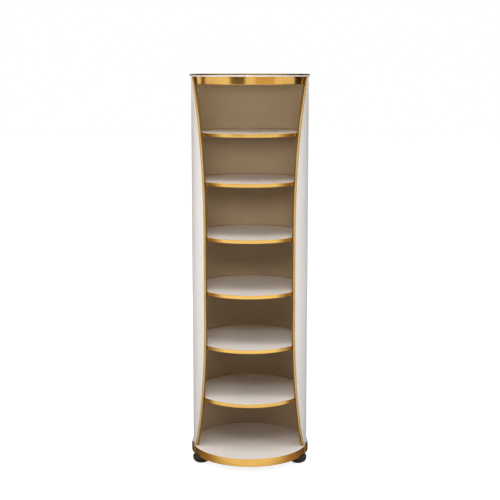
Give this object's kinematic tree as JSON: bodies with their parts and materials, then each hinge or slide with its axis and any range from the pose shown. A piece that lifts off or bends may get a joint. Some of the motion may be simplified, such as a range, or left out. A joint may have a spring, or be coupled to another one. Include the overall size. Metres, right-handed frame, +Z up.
{
  "type": "rotating shoe tower",
  "caption": "Tall round shoe tower with an open, waisted front, white wall, gold edging and round shelves, turning as one on a low base with a roller turntable and black feet.",
  "frame": {"origin": "on the floor, on the axis that the tower turns about", "axes": "+Z up along the turning axis, -Y out of the opening, +X to the viewer's right when facing the opening"},
  "size_m": [0.4079, 0.408, 1.34],
  "materials": {
    "white_shell": "smooth satin white skin",
    "white_board": "white laminated board",
    "beige_lining": "matt beige lining sheet",
    "gold_edging": "polished gold anodised sheet",
    "white_steel": "white powder coat",
    "black_steel": "black powder coat",
    "zinc_steel": "zinc plated steel",
    "nylon": "natural nylon",
    "black_plastic": "glossy black moulded plastic"
  },
  "bodies": {
    "tower": {"outer_shell": "white_shell", "lining": "beige_lining", "edge_trim_left": "gold_edging", "edge_trim_right": "gold_edging", "header_band": "gold_edging", "top_board": "white_board", "top_cap": "white_board", "shelf_1": "white_board", "shelf_2": "white_board", "shelf_3": "white_board", "shelf_4": "white_board", "shelf_5": "white_board", "shelf_6": "white_board", "shelf_band_1": "gold_edging", "shelf_band_2": "gold_edging", "shelf_band_3": "gold_edging", "shelf_band_4": "gold_edging", "shelf_band_5": "gold_edging", "shelf_band_6": "gold_edging", "shelf_brackets": "white_steel", "bottom_board": "white_board", "bottom_band": "gold_edging", "turntable_upper_race": "zinc_steel", "turntable_screws": "zinc_steel"},
    "cage": {"roller_cage": "nylon", "turntable_rollers": "zinc_steel"},
    "base": {"turntable_lower_race": "zinc_steel", "base_frame": "black_steel", "feet": "black_plastic", "foot_bolts": "zinc_steel"}
  },
  "joints": [
    {"name": "tower_turn", "type": "hinge", "parent": "base", "child": "tower", "pos_m": [0, 0, 0.035], "axis": [0, 0, 1], "continuous": true},
    {"name": "cage_turn", "type": "hinge", "parent": "base", "child": "cage", "pos_m": [0, 0, 0.028], "axis": [0, 0, 1], "continuous": true}
  ],
  "couplings": [
    {"joint": "cage_turn", "follows": "tower_turn", "ratio": 0.5}
  ]
}
